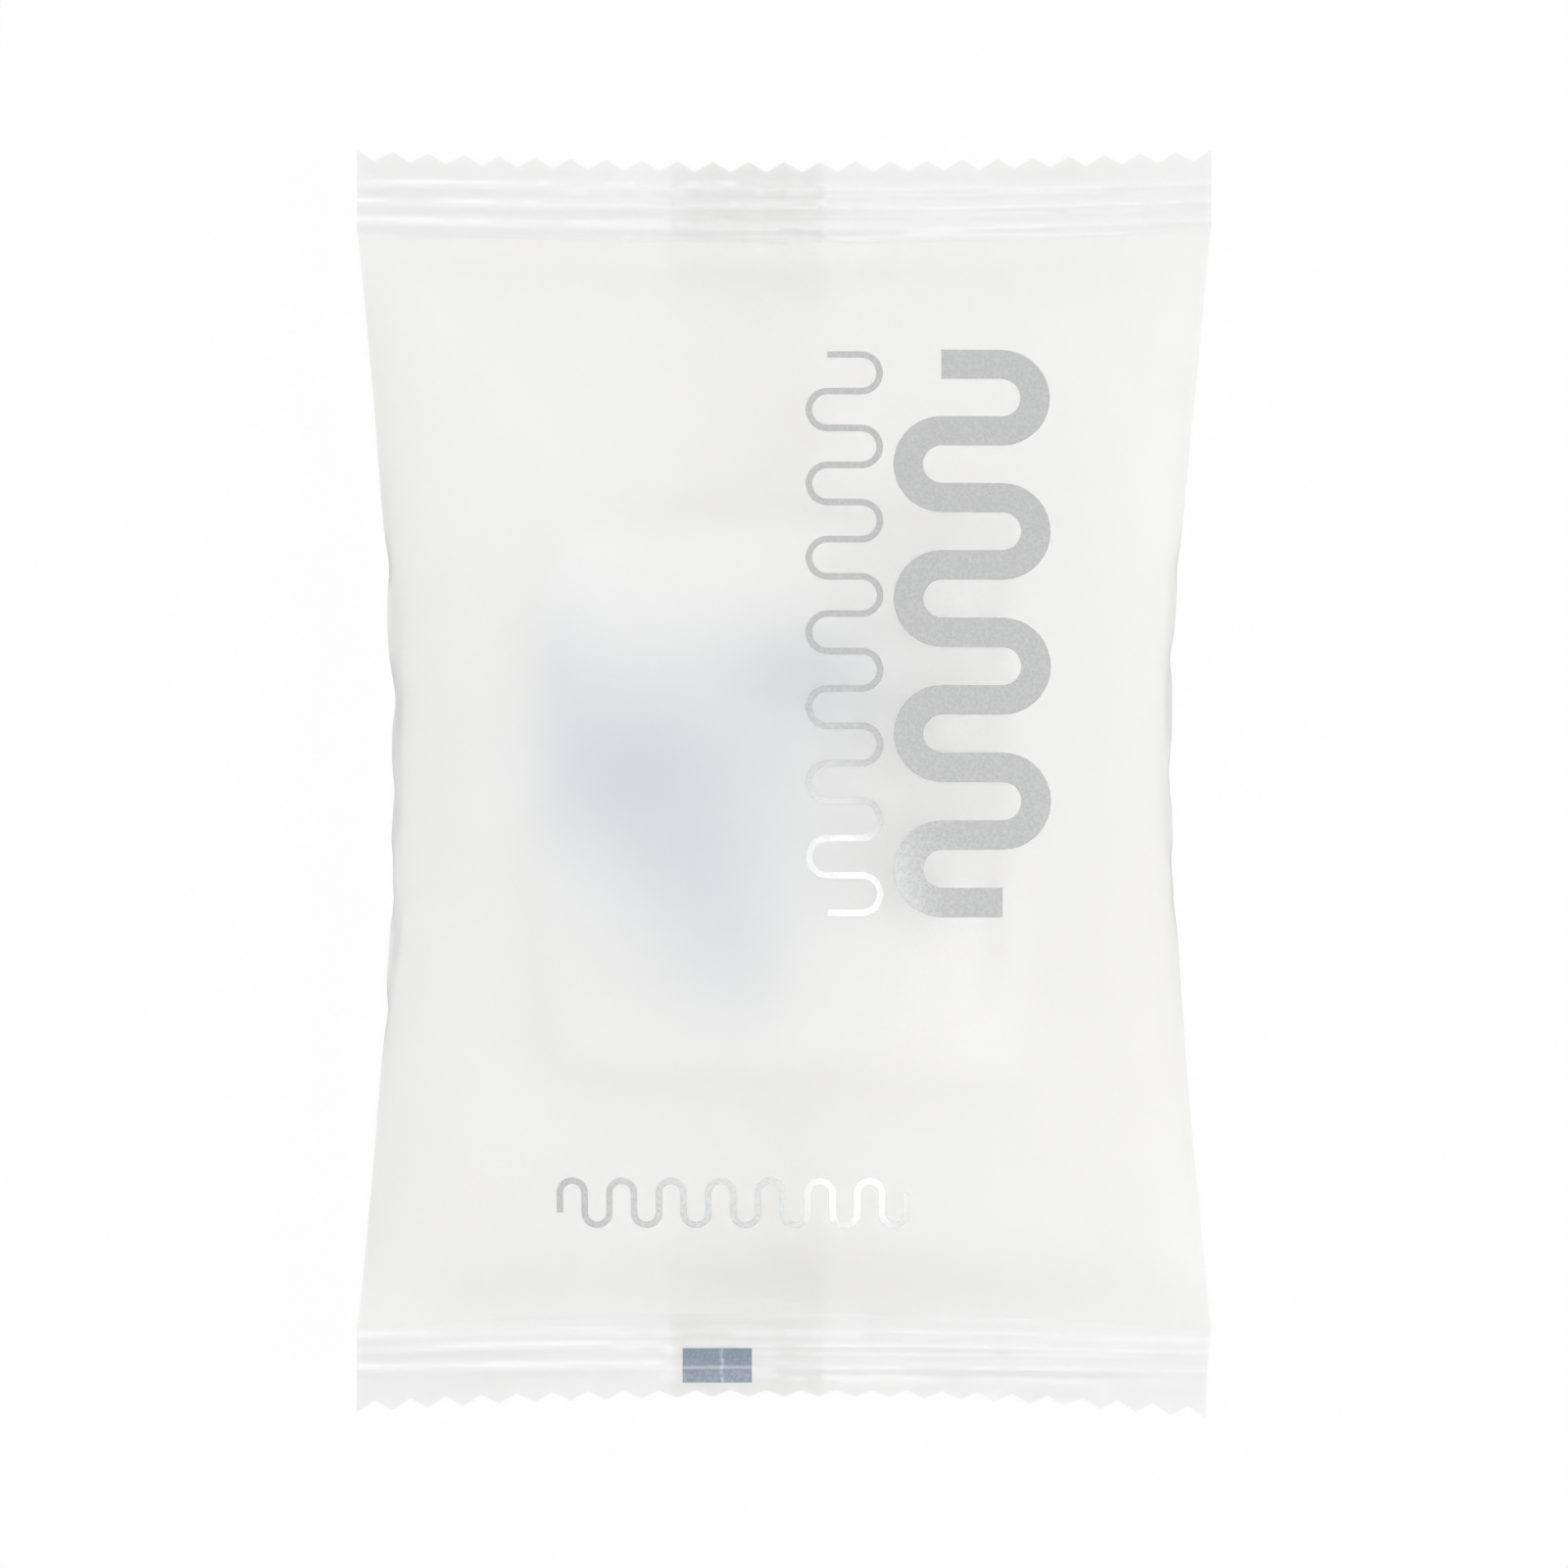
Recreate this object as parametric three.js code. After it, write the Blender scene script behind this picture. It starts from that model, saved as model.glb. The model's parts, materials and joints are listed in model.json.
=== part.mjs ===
// A shower cap, folded and sealed in a pillow-shaped film sachet that lies on its back.
// Millimetres. +Z is up, away from the table, +Y runs towards the head seal, and the origin is on the
// table under the middle of the pack.
import * as THREE from 'three';

// Sachet: the film tube
const PACK_LENGTH = 108.4; // tooth tips to tooth tips, measured along the side folds
const TUBE_WIDTH = 73; // the tube pressed flat, as it is at both end seals
const FILM = 0.2; // one ply of film
const WAIST = 2.9; // how far each side fold is drawn in at mid length
const HEAD_BOW = 1; // how far the middle of the head end is drawn in
const TAIL_BOW = 1.8; // the same at the tail end
const SIDE_FOLD_HEIGHT = 6; // side folds and end seals above the table
const SECTION_POWER = 3.6; // fullness of the pillow across its width
const SWELL_POWER = 2; // fullness of the pillow along its length

// Sachet: the end seals, crimped and cut with a zigzag knife
const HEAD_BAND = 7; // from the flex line to the tooth tips
const TAIL_BAND = 7.6;
const TOOTH_PITCH = 3;
const TOOTH_HEIGHT = 0.9;
const CRIMP_COUNT = 3;
const CRIMP_PITCH = 1.55;
const CRIMP_DEPTH = 0.5; // ridge to groove
const CRIMP_MARGIN = 0.3; // plain strip between the flex line and the first crimp
const FLEX_GAP = 0.6; // bending line between the pillow and an end seal

// Sachet: the lengthwise fin seal, folded flat against the back
const FIN_WIDTH = 13;
const FIN_ROOT_X = 3.3; // where the fin leaves the back
const FIN_STEP_RAMP = 1.2; // width over which the back film steps over the fin
const SEAM_GAP = 0.3; // between film faces that touch on the real pack

// Sachet: the printed mark that the wrapping machine reads
const MARK_WIDTH = 5.9;
const MARK_HEIGHT = 2.8;
const MARK_X = -5.7;
const MARK_FROM_FLEX = 3.4; // flex line of the tail seal to the mark
const INK = 0.08;
const INK_GAP = 0.05;

// Folded cap: a sheet folded back and forth, with a pointed flap on top
const FOLD_WIDTH = 42;
const CROWN_LENGTH = 42;
const PLY = 1.4; // one gathered layer of cap film
const PLY_GAP = 0.6;
const PLY_COUNT = 5; // odd, so that the top ply starts at the left fold
const FLAP_HEAD_EDGE = 4.1; // crown's head edge to the flap's
const FLAP_ROOT_LENGTH = 17; // along the left fold
const FLAP_REACH = 27; // left fold to the flap's free side
const FLAP_POINT_X = 15.8; // left fold to the flap's point
const FLAP_POINT_LENGTH = 32; // head edge to the point
const FLAP_FREE_LENGTH = 5; // along the flap's free side

// Folded cap: the hem and the endless elastic inside it
const ELASTIC_WIDTH = 1.2;
const ELASTIC_THICKNESS = 0.5;
const ELASTIC_ROOM = 0.2; // clearance round the elastic
const HEM_WALL = 0.25;
const HEM_RUN_SPACING = 3.8; // between the two runs of the flattened loop
const HEM_MARGIN = 2; // cap's first edge to the hem's end turn
const FRILL_DEPTH = 0.6; // gathers along the hem's outer edge
const FRILLS_PER_PLY = 4;

// Room inside the sachet
const CAP_REST_GAP = 0.4; // cap to the back film that it lies on
const AIR_ROOM = 1.2; // least room between the cap and the front film
const CAP_PLAY = 4; // how far the cap can shift each way along the sachet

// How finely curves are divided
const FRONT_STEPS = 16;
const BACK_SIDE_STEPS = 5;
const LENGTH_STEPS = 18;
const BEND_STEPS = 6;
const TURN_STEPS = 6;
const STEPS_PER_FRILL = 4;

// Sizes that follow from those above
const finThickness = 2 * FILM;
const finFreeX = FIN_ROOT_X - FIN_WIDTH;
const finStep = finThickness + SEAM_GAP;
const endHalfGap = (finStep + SEAM_GAP) / 2; // half the tube's opening where it meets a seal
const plyPitch = PLY + PLY_GAP;
const bendRadius = plyPitch / 2;
const bendX = FOLD_WIDTH / 2 - bendRadius - PLY / 2; // bends turn about this x, left and right
const foldPeriod = 2 * bendX + Math.PI * bendRadius; // one ply and the bend after it
const capFloor = FILM + finStep + CAP_REST_GAP;
const hemThickness = ELASTIC_THICKNESS + 2 * (ELASTIC_ROOM + HEM_WALL);
const hemHalfWidth = ELASTIC_WIDTH / 2 + ELASTIC_ROOM + HEM_WALL;
const hemLength = HEM_RUN_SPACING + 2 * (hemHalfWidth + FRILL_DEPTH);
const capLength = CROWN_LENGTH + SEAM_GAP + hemLength;
const crownTailY = -capLength / 2;
const crownHeadY = crownTailY + CROWN_LENGTH;
const hemY = crownHeadY + SEAM_GAP + hemLength / 2;
const flapHeadY = crownHeadY - FLAP_HEAD_EDGE;

// Materials, coloured as in the photograph
const material = (color, roughness) => new THREE.MeshStandardMaterial({ color, roughness, metalness: 0 });
const frostedFilm = material(0xeeeeee, 0.4);
const markInk = material(0x93a3b5, 0.5);
const capFilm = material(0xc9d2de, 0.45);
const elasticRubber = material(0xe6e6e2, 0.7);

// The film between a grid of upper points and a matching grid of lower points, closed round its rim.
// Grids are [row][column]; seen from above, columns run to the left of the direction of the rows.
function slab(upper, lower) {
  const rows = upper.length;
  const columns = upper[0].length;
  const points = [...upper.flat(), ...lower.flat()];
  const top = (i, j) => i * columns + j;
  const bottom = (i, j) => rows * columns + top(i, j);
  const faces = [];
  const quad = (a, b, c, d) => faces.push(a, b, c, a, c, d);
  for (let i = 0; i + 1 < rows; i++) {
    for (let j = 0; j + 1 < columns; j++) {
      quad(top(i, j), top(i + 1, j), top(i + 1, j + 1), top(i, j + 1));
      quad(bottom(i, j), bottom(i, j + 1), bottom(i + 1, j + 1), bottom(i + 1, j));
    }
    quad(top(i, 0), bottom(i, 0), bottom(i + 1, 0), top(i + 1, 0));
    const last = columns - 1;
    quad(top(i + 1, last), bottom(i + 1, last), bottom(i, last), top(i, last));
  }
  for (let j = 0; j + 1 < columns; j++) {
    quad(top(0, j + 1), bottom(0, j + 1), bottom(0, j), top(0, j));
    const last = rows - 1;
    quad(top(last, j), bottom(last, j), bottom(last, j + 1), top(last, j + 1));
  }
  return solid(points, faces);
}

// An endless solid: sections of equal point count, each joined to the next and the last to the first.
function endless(sections) {
  const size = sections[0].length;
  const faces = [];
  sections.forEach((_, i) => {
    const here = i * size;
    const next = ((i + 1) % sections.length) * size;
    for (let k = 0; k < size; k++) {
      const m = (k + 1) % size;
      faces.push(here + k, next + k, next + m, here + k, next + m, here + m);
    }
  });
  return solid(sections.flat(), faces);
}

function solid(points, faces) {
  return new THREE.BufferGeometry().setFromPoints(points).setIndex(faces);
}

// The two ends: which way each points along Y, its seal band, and how far its middle is drawn in
const HEAD = { way: 1, band: HEAD_BAND, bow: HEAD_BOW };
const TAIL = { way: -1, band: TAIL_BAND, bow: TAIL_BOW };

// Distances from the middle of the pack to an end's flex line, along the side fold and at any x
const flexAtFold = (end) => PACK_LENGTH / 2 - end.band;
const flexAt = (end, x) => flexAtFold(end) - end.bow * (1 - ((2 * x) / TUBE_WIDTH) ** 2);

// Pillow shape. t runs from -1 at the tail end of the tube to 1 at its head end.
const halfWidth = (t) => TUBE_WIDTH / 2 - WAIST * (1 - t * t);
const swell = (t) => Math.sqrt(1 - Math.abs(t) ** SWELL_POWER);
const roundness = (u) => Math.sqrt(1 - Math.min(1, Math.abs(u)) ** SECTION_POWER);
const tubeEnd = (end, x) => flexAt(end, x) - FLEX_GAP;
const tubeY = (t, x) => t * tubeEnd(t < 0 ? TAIL : HEAD, x);

// How much of the pillow's full height there is over a point of the cap, at the worst end of its play.
function heightShareOver(x, y) {
  const t = (Math.abs(y) + CAP_PLAY) / Math.min(tubeEnd(HEAD, x), tubeEnd(TAIL, x));
  return swell(t) * roundness(x / (halfWidth(t) - FILM));
}

// The front film rises, and the back film sinks, as far as the cap's corners need.
const plyTop = (k) => capFloor + k * plyPitch + PLY;
const stackCorner = heightShareOver(FOLD_WIDTH / 2, capLength / 2);
const flapCorner = heightShareOver(FOLD_WIDTH / 2, Math.max(flapHeadY, FLAP_ROOT_LENGTH - flapHeadY));
const frontRise = Math.max(
  (plyTop(PLY_COUNT - 2) + AIR_ROOM - SIDE_FOLD_HEIGHT) / stackCorner,
  (plyTop(PLY_COUNT - 1) + AIR_ROOM - SIDE_FOLD_HEIGHT) / flapCorner,
);
const backSink = (SIDE_FOLD_HEIGHT - capFloor + CAP_REST_GAP) / stackCorner;

const frontZ = (x, t, half, lift) => SIDE_FOLD_HEIGHT + (lift + frontRise * swell(t)) * roundness(x / half);

// The back film without the step over the fin: it hangs from the side folds and lies flat on the table.
function backZ(x, t, half, drop, floor) {
  const hanging = SIDE_FOLD_HEIGHT - (drop + backSink * swell(t)) * roundness(x / half);
  return Math.max(hanging, floor);
}

// Places across the back, from the left fold to the right one, with the fin's edges among them.
function backPlaces(half) {
  const places = [];
  const leftStart = finFreeX - FIN_STEP_RAMP;
  const rightStart = FIN_ROOT_X + FIN_STEP_RAMP;
  for (let k = 1; k <= BACK_SIDE_STEPS; k++) {
    const share = Math.sin((Math.PI / 2) * (1 - k / BACK_SIDE_STEPS));
    places.push({ x: leftStart - (half + leftStart) * share, raised: 0 });
  }
  places.push({ x: finFreeX, raised: 1 }, { x: (finFreeX + FIN_ROOT_X) / 2, raised: 1 });
  places.push({ x: FIN_ROOT_X, raised: 1 });
  for (let k = 0; k < BACK_SIDE_STEPS; k++) {
    const share = Math.sin(((Math.PI / 2) * k) / BACK_SIDE_STEPS);
    places.push({ x: rightStart + (half - rightStart) * share, raised: 0 });
  }
  return places;
}

// One loop round the tube at t: over the front from right to left, then back under it.
// skin is 0 for the outside of the film and FILM for its inside.
function tubeLoop(t, skin) {
  const half = halfWidth(t) - skin;
  const lift = endHalfGap + FILM - skin;
  const loop = [];
  for (let k = 0; k <= FRONT_STEPS; k++) {
    const c = Math.cos((Math.PI * k) / FRONT_STEPS);
    const x = half * Math.sign(c) * Math.abs(c) ** (2 / SECTION_POWER);
    loop.push(new THREE.Vector3(x, tubeY(t, x), frontZ(x, t, half, lift)));
  }
  for (const { x, raised } of backPlaces(half)) {
    const z = backZ(x, t, half, lift, skin) + raised * finStep;
    loop.push(new THREE.Vector3(x, tubeY(t, x), z));
  }
  return loop;
}

// Stations along the tube, closer together towards the ends, where the pillow curves most
function lengthStations() {
  const station = (_, i) => Math.sin((Math.PI / 2) * ((2 * i) / LENGTH_STEPS - 1));
  return Array.from({ length: LENGTH_STEPS + 1 }, station);
}

// The film tube: its outside and inside, joined by a rim at each open end
function wrapperSleeve() {
  const stations = lengthStations();
  const outside = stations.toReversed().map((t) => tubeLoop(t, 0));
  const inside = stations.map((t) => tubeLoop(t, FILM));
  const loops = [...outside, ...inside];
  return endless(loops[0].map((_, k) => loops.map((loop) => loop[k])));
}

// The two film edges, welded face to face and folded flat under the back
function backFinSeal() {
  const places = [finFreeX, (finFreeX + FIN_ROOT_X) / 2, FIN_ROOT_X];
  const side = (height) =>
    places.map((x) =>
      lengthStations().map((t) => {
        const base = backZ(x, t, halfWidth(t), endHalfGap + FILM, 0);
        return new THREE.Vector3(x, tubeY(t, x), base + height);
      }),
    );
  return slab(side(finThickness), side(0));
}

// Height of the crimped weld above its mid plane, at a distance from the flex line
function crimpHeight(distance) {
  const turn = (distance - CRIMP_MARGIN) / CRIMP_PITCH;
  if (turn <= 0 || turn >= CRIMP_COUNT) return 0;
  const phase = turn - Math.floor(turn);
  return CRIMP_DEPTH * (phase < 0.5 ? phase : 1 - phase);
}

// Distances from the flex line at which the crimped band bends
function crimpLines() {
  const lines = [0];
  for (let k = 0; k <= 2 * CRIMP_COUNT; k++) lines.push(CRIMP_MARGIN + (k * CRIMP_PITCH) / 2);
  return lines;
}

// How far the zigzag edge is cut back from the tooth tips, with a tip at each side fold
function toothCut(x) {
  const toothCount = Math.round(TUBE_WIDTH / TOOTH_PITCH);
  const turn = ((x / TUBE_WIDTH + 0.5) * toothCount) % 1;
  return TOOTH_HEIGHT * (1 - Math.abs(1 - 2 * turn));
}

// Places across a seal: every tooth tip and valley, and the edges of the fin inside the weld
function sealPlaces() {
  const halfTeeth = 2 * Math.round(TUBE_WIDTH / TOOTH_PITCH);
  const places = Array.from({ length: halfTeeth + 1 }, (_, i) => TUBE_WIDTH * (i / halfTeeth - 0.5));
  const finEdges = [finFreeX - FIN_STEP_RAMP, finFreeX, FIN_ROOT_X, FIN_ROOT_X + FIN_STEP_RAMP];
  const spaced = places.filter((x) => finEdges.every((edge) => Math.abs(edge - x) > SEAM_GAP));
  return [...spaced, ...finEdges].sort((a, b) => a - b);
}

// A point of an end seal, at a distance from its flex line and a height above its mid plane
function sealPoint(end, x, distance, height) {
  return new THREE.Vector3(x, end.way * (flexAt(end, x) + distance), SIDE_FOLD_HEIGHT + height);
}

// An end seal: front film, back film and fin welded into one crimped band with a zigzag edge
function endSeal(end) {
  const places = sealPlaces();
  const inFin = (x) => (x >= finFreeX && x <= FIN_ROOT_X ? 1 : 0);
  const face = (offset) =>
    places.map((x) => {
      const lines = [...crimpLines(), end.band - toothCut(x)];
      return lines.map((d) => sealPoint(end, x, d, crimpHeight(d) + offset(x)));
    });
  const upper = face(() => FILM);
  const lower = face((x) => -FILM - inFin(x) * finThickness);
  return end === HEAD ? slab(upper, lower) : slab(upper.reverse(), lower.reverse());
}

// The printed mark, which follows the crimps of the tail seal
function registrationMark() {
  const bends = crimpLines().filter((d) => d > MARK_FROM_FLEX && d < MARK_FROM_FLEX + MARK_HEIGHT);
  const lines = [MARK_FROM_FLEX, ...bends, MARK_FROM_FLEX + MARK_HEIGHT];
  const places = [MARK_X + MARK_WIDTH / 2, MARK_X, MARK_X - MARK_WIDTH / 2];
  const face = (offset) =>
    places.map((x) => lines.map((d) => sealPoint(TAIL, x, d, crimpHeight(d) + FILM + offset)));
  return slab(face(INK_GAP + INK), face(INK_GAP));
}

// A point of the folded sheet: s along the folded path, y across it, n out of its middle surface.
// Even plies run to the right and odd plies to the left, each joined to the next by a half-turn bend.
function foldPoint(s, y, n) {
  const ply = Math.min(PLY_COUNT - 1, Math.floor(s / foldPeriod));
  const along = s - ply * foldPeriod;
  const way = ply % 2 ? -1 : 1;
  const angle = Math.max(0, along - 2 * bendX) / bendRadius;
  const straight = Math.min(along, 2 * bendX) - bendX;
  const x = way * (straight + bendRadius * Math.sin(angle));
  const z = capFloor + PLY / 2 + ply * plyPitch + bendRadius * (1 - Math.cos(angle));
  return new THREE.Vector3(x - n * Math.sin(angle), y, z + n * way * Math.cos(angle));
}

const plyStart = (k) => k * foldPeriod;
const plyEnd = (k) => plyStart(k) + 2 * bendX;
const bendStation = (k, step) => plyEnd(k) + (Math.PI * bendRadius * step) / BEND_STEPS;

// Cap film: full-width plies, then a bend and a top ply cut to the flap's outline
function capCrown() {
  const stations = [];
  const add = (s, low, high) => stations.push({ s, low, high });
  const lastBend = PLY_COUNT - 2;
  for (let k = 0; k <= lastBend; k++) {
    add(plyStart(k), crownTailY, crownHeadY);
    add(plyEnd(k), crownTailY, crownHeadY);
    for (let step = 1; step < BEND_STEPS; step++) {
      const [low, high] = k < lastBend ? [crownTailY, crownHeadY] : [flapHeadY - FLAP_ROOT_LENGTH, flapHeadY];
      add(bendStation(k, step), low, high);
    }
  }
  const topStart = plyStart(PLY_COUNT - 1);
  const fromFold = FOLD_WIDTH / 2 - bendX; // fold's outer edge to the start of the top ply
  add(topStart, flapHeadY - FLAP_ROOT_LENGTH, flapHeadY);
  add(topStart + FLAP_POINT_X - fromFold, flapHeadY - FLAP_POINT_LENGTH, flapHeadY);
  add(topStart + FLAP_REACH - fromFold, flapHeadY - FLAP_FREE_LENGTH, flapHeadY);
  const face = (n) => stations.map(({ s, low, high }) => [foldPoint(s, low, n), foldPoint(s, high, n)]);
  return slab(face(PLY / 2), face(-PLY / 2));
}

// Stations of one run of the hem along the folded path, finer on the plies when they carry frills
function runStations(stepsPerPly) {
  const turn = HEM_RUN_SPACING / 2;
  const from = HEM_MARGIN + turn;
  const to = plyEnd(PLY_COUNT - 2) - turn;
  const stations = [];
  for (let k = 0; k < PLY_COUNT - 1; k++) {
    for (let i = 0; i <= stepsPerPly; i++) stations.push(plyStart(k) + (2 * bendX * i) / stepsPerPly);
    for (let i = 1; i < BEND_STEPS; i++) stations.push(bendStation(k, i));
  }
  return [from, ...stations.filter((s) => s > from && s < to), to];
}

// The flattened loop of the hem: two runs joined by a half turn at each end. Each place has its point on
// the sheet and the direction across the loop, outwards, in the sheet.
function hemLoop(stepsPerPly) {
  const turn = HEM_RUN_SPACING / 2;
  const run = runStations(stepsPerPly);
  const places = [];
  const halfTurn = (s, from) => {
    for (let i = 1; i < TURN_STEPS; i++) {
      const angle = from + (Math.PI * i) / TURN_STEPS;
      places.push({ s, out: [Math.sin(angle), Math.cos(angle)] });
    }
  };
  run.forEach((s) => places.push({ s, out: [0, 1] }));
  halfTurn(run.at(-1), 0);
  run.toReversed().forEach((s) => places.push({ s, out: [0, -1] }));
  halfTurn(run[0], Math.PI);
  return places.map(({ s, out }) => ({
    s,
    at: (q, n) => foldPoint(s + (turn + q) * out[0], hemY + (turn + q) * out[1], n),
  }));
}

// The hem: film turned over the elastic, a channel that opens towards the inside of the loop
function capHem() {
  const halfHem = hemThickness / 2;
  const halfRoom = ELASTIC_THICKNESS / 2 + ELASTIC_ROOM;
  const innerWall = hemHalfWidth - HEM_WALL;
  const frillLength = (2 * bendX) / FRILLS_PER_PLY;
  const section = ({ s, at }) => {
    const gather = (FRILL_DEPTH * (1 - Math.cos((2 * Math.PI * (s % foldPeriod)) / frillLength))) / 2;
    const outer = hemHalfWidth + gather;
    return [
      at(-hemHalfWidth, halfHem),
      at(outer, halfHem),
      at(outer, -halfHem),
      at(-hemHalfWidth, -halfHem),
      at(-hemHalfWidth, -halfRoom),
      at(innerWall, -halfRoom),
      at(innerWall, halfRoom),
      at(-hemHalfWidth, halfRoom),
    ];
  };
  return endless(hemLoop(FRILLS_PER_PLY * STEPS_PER_FRILL).map(section));
}

// The elastic: a flat endless band that lies in the hem
function elasticBand() {
  const halfWide = ELASTIC_WIDTH / 2;
  const halfThick = ELASTIC_THICKNESS / 2;
  const section = ({ at }) => [
    at(-halfWide, halfThick),
    at(halfWide, halfThick),
    at(halfWide, -halfThick),
    at(-halfWide, -halfThick),
  ];
  return endless(hemLoop(1).map(section));
}

function piece(name, geometry, look) {
  const mesh = new THREE.Mesh(geometry, look);
  mesh.name = name;
  return mesh;
}

const wrapper = new THREE.Group();
wrapper.add(
  piece('wrapper_sleeve', wrapperSleeve(), frostedFilm),
  piece('back_fin_seal', backFinSeal(), frostedFilm),
  piece('head_seal', endSeal(HEAD), frostedFilm),
  piece('tail_seal', endSeal(TAIL), frostedFilm),
  piece('registration_mark', registrationMark(), markInk),
);

const foldedCap = new THREE.Group();
foldedCap.add(
  piece('cap_crown', capCrown(), capFilm),
  piece('cap_hem', capHem(), capFilm),
  piece('elastic_band', elasticBand(), elasticRubber),
);

const showerCapSachet = new THREE.Group();
showerCapSachet.add(wrapper, foldedCap);

export default showerCapSachet;
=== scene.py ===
# %% [markdown]
# # A shower cap, folded and sealed in a frosted sachet
# The real object is one web of frosted film wrapped round a folded plastic cap. A packing machine
# welds the web into a tube along the back, then crimps and cuts both ends with heated jaws.
# The solids of the part give every size, and this lesson dresses them in film, ink and soft folds.

# %% Load the part
import json
import math

import bpy
import numpy as np
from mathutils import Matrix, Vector, noise
from mathutils.bvhtree import BVHTree


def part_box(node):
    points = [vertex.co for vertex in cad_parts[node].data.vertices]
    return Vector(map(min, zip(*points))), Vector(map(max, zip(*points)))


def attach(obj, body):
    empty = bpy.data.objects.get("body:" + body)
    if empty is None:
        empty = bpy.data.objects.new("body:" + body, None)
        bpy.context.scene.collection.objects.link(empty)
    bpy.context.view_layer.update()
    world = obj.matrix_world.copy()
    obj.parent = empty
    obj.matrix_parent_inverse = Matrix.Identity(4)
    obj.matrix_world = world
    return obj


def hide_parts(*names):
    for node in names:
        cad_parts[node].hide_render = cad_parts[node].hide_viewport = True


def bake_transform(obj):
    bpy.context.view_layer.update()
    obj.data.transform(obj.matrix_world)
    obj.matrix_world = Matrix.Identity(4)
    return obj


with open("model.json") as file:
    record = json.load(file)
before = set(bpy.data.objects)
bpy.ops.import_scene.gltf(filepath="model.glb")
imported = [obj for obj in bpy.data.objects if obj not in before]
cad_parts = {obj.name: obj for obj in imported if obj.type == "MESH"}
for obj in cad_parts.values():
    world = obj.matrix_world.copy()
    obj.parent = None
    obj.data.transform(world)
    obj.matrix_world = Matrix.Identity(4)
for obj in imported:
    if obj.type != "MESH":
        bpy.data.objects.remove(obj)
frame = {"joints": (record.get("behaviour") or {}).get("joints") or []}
scene = bpy.context.scene
scene.view_settings.view_transform = "Standard"
MM = 0.001
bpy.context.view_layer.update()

# %% [markdown]
# ## Sizes of the sachet
# The two crimped ends are hinges of the part, so the flat width and the height of the side folds
# come straight from the frame. Each end is described by five lines that run across the sachet: where
# the film enters the weld, the three crimp ridges, and the tooth tips. A line bows and leans a little,
# so it has a distance from the sachet's middle at its left side, at its centre and at its right side.

# %% Lines across the two ends
joints = {joint["name"]: joint for joint in frame["joints"]}
HALF_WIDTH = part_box("head_seal")[1].x
FOLD_Z = joints["head_flex"]["pos_m"][2]
HEAD_LINES = [
    (47.2, 46.3, 47.4),
    (48.0, 47.5, 48.2),
    (49.6, 49.3, 49.9),
    (51.2, 50.9, 51.4),
    (54.2, 53.2, 54.2),
]
TAIL_LINES = [
    (46.4, 45.3, 46.7),
    (47.4, 46.7, 47.5),
    (48.5, 47.9, 48.6),
    (50.1, 49.8, 50.1),
    (53.7, 52.3, 54.2),
]


def line_at(line, x):
    """Distance of a bowed line from the sachet's middle, at a place across it."""
    left, centre, right = line
    side = right if x > 0 else left
    return (centre + (side - centre) * (x / HALF_WIDTH) ** 2) * MM


print("flat width", round(2 * HALF_WIDTH / MM, 1), "mm, side folds at", round(FOLD_Z / MM, 1), "mm")

# %% [markdown]
# ## Camera
# The sachet is seen straight from the front, so the camera looks straight down on it. A long lens
# keeps the pillow from bulging towards the viewer. Its distance follows from the width that the
# picture spans at the height of the side folds.

# %% Look straight down
PICTURE_WIDTH = 134.1 * MM
FOCAL_LENGTH = 135
lens = bpy.data.cameras.new("camera")
lens.lens = FOCAL_LENGTH
camera = bpy.data.objects.new("camera", lens)
camera.location = (0, 0, FOLD_Z + PICTURE_WIDTH * FOCAL_LENGTH / lens.sensor_width)
scene.collection.objects.link(camera)
scene.camera = camera
print("camera height", round(camera.location.z, 3), "m")

# %% [markdown]
# ## Studio
# Frosted film has almost no colour of its own: it shows the white it lies on. The floor and the world
# are therefore plain white wherever they are looked at, mirrored or seen through film, and a softer
# white where they light things. A Light Path node tells the two kinds of ray apart.

# %% Helpers for nodes
def add_node(tree, kind, values=None, **settings):
    """A new shader node with some of its settings, and then of its sockets, set by name or number."""
    node = tree.nodes.new("ShaderNode" + kind)
    for setting, value in settings.items():
        setattr(node, setting, value)
    for socket, value in (values or {}).items():
        node.inputs[socket].default_value = value
    return node


def wire(tree, *wires):
    """Links sockets: each wire is a node, its output, the next node and its input."""
    for source, output, target, socket in wires:
        tree.links.new(source.outputs[output], target.inputs[socket])


def new_material(name):
    """A new material and its node tree."""
    material = bpy.data.materials.new(name)
    material.use_nodes = True
    return material, material.node_tree


def seen_directly(tree):
    """A node that gives 1 to camera, mirror and see-through rays, and 0 to light that scatters."""
    path = add_node(tree, "LightPath")
    seen, output = path, "Is Camera Ray"
    for kind in ("Is Glossy Ray", "Is Transmission Ray"):
        either = add_node(tree, "Math", operation="MAXIMUM")
        wire(tree, (seen, output, either, 0), (path, kind, either, 1))
        seen, output = either, 0
    return seen


# %% World
AMBIENT = 0.595
world = bpy.data.worlds.new("white_studio")
scene.world = world
world.use_nodes = True
tree = world.node_tree
ambient = tree.nodes["Background"]
ambient.inputs["Color"].default_value = (1, 1, 1, 1)
ambient.inputs["Strength"].default_value = AMBIENT
white = add_node(tree, "Background", {"Color": (1, 1, 1, 1), "Strength": 1})
choose = add_node(tree, "MixShader")
wire(
    tree,
    (seen_directly(tree), 0, choose, "Fac"),
    (ambient, 0, choose, 1),
    (white, 0, choose, 2),
    (choose, 0, tree.nodes["World Output"], "Surface"),
)
print("ambient light", AMBIENT)

# %% [markdown]
# ## Floor
# The floor glows white to the camera and keeps a small share of plain diffuse paint, which holds the
# sachet's shadow. From below it is clear, so the back of the sachet can be looked at too.

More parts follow.
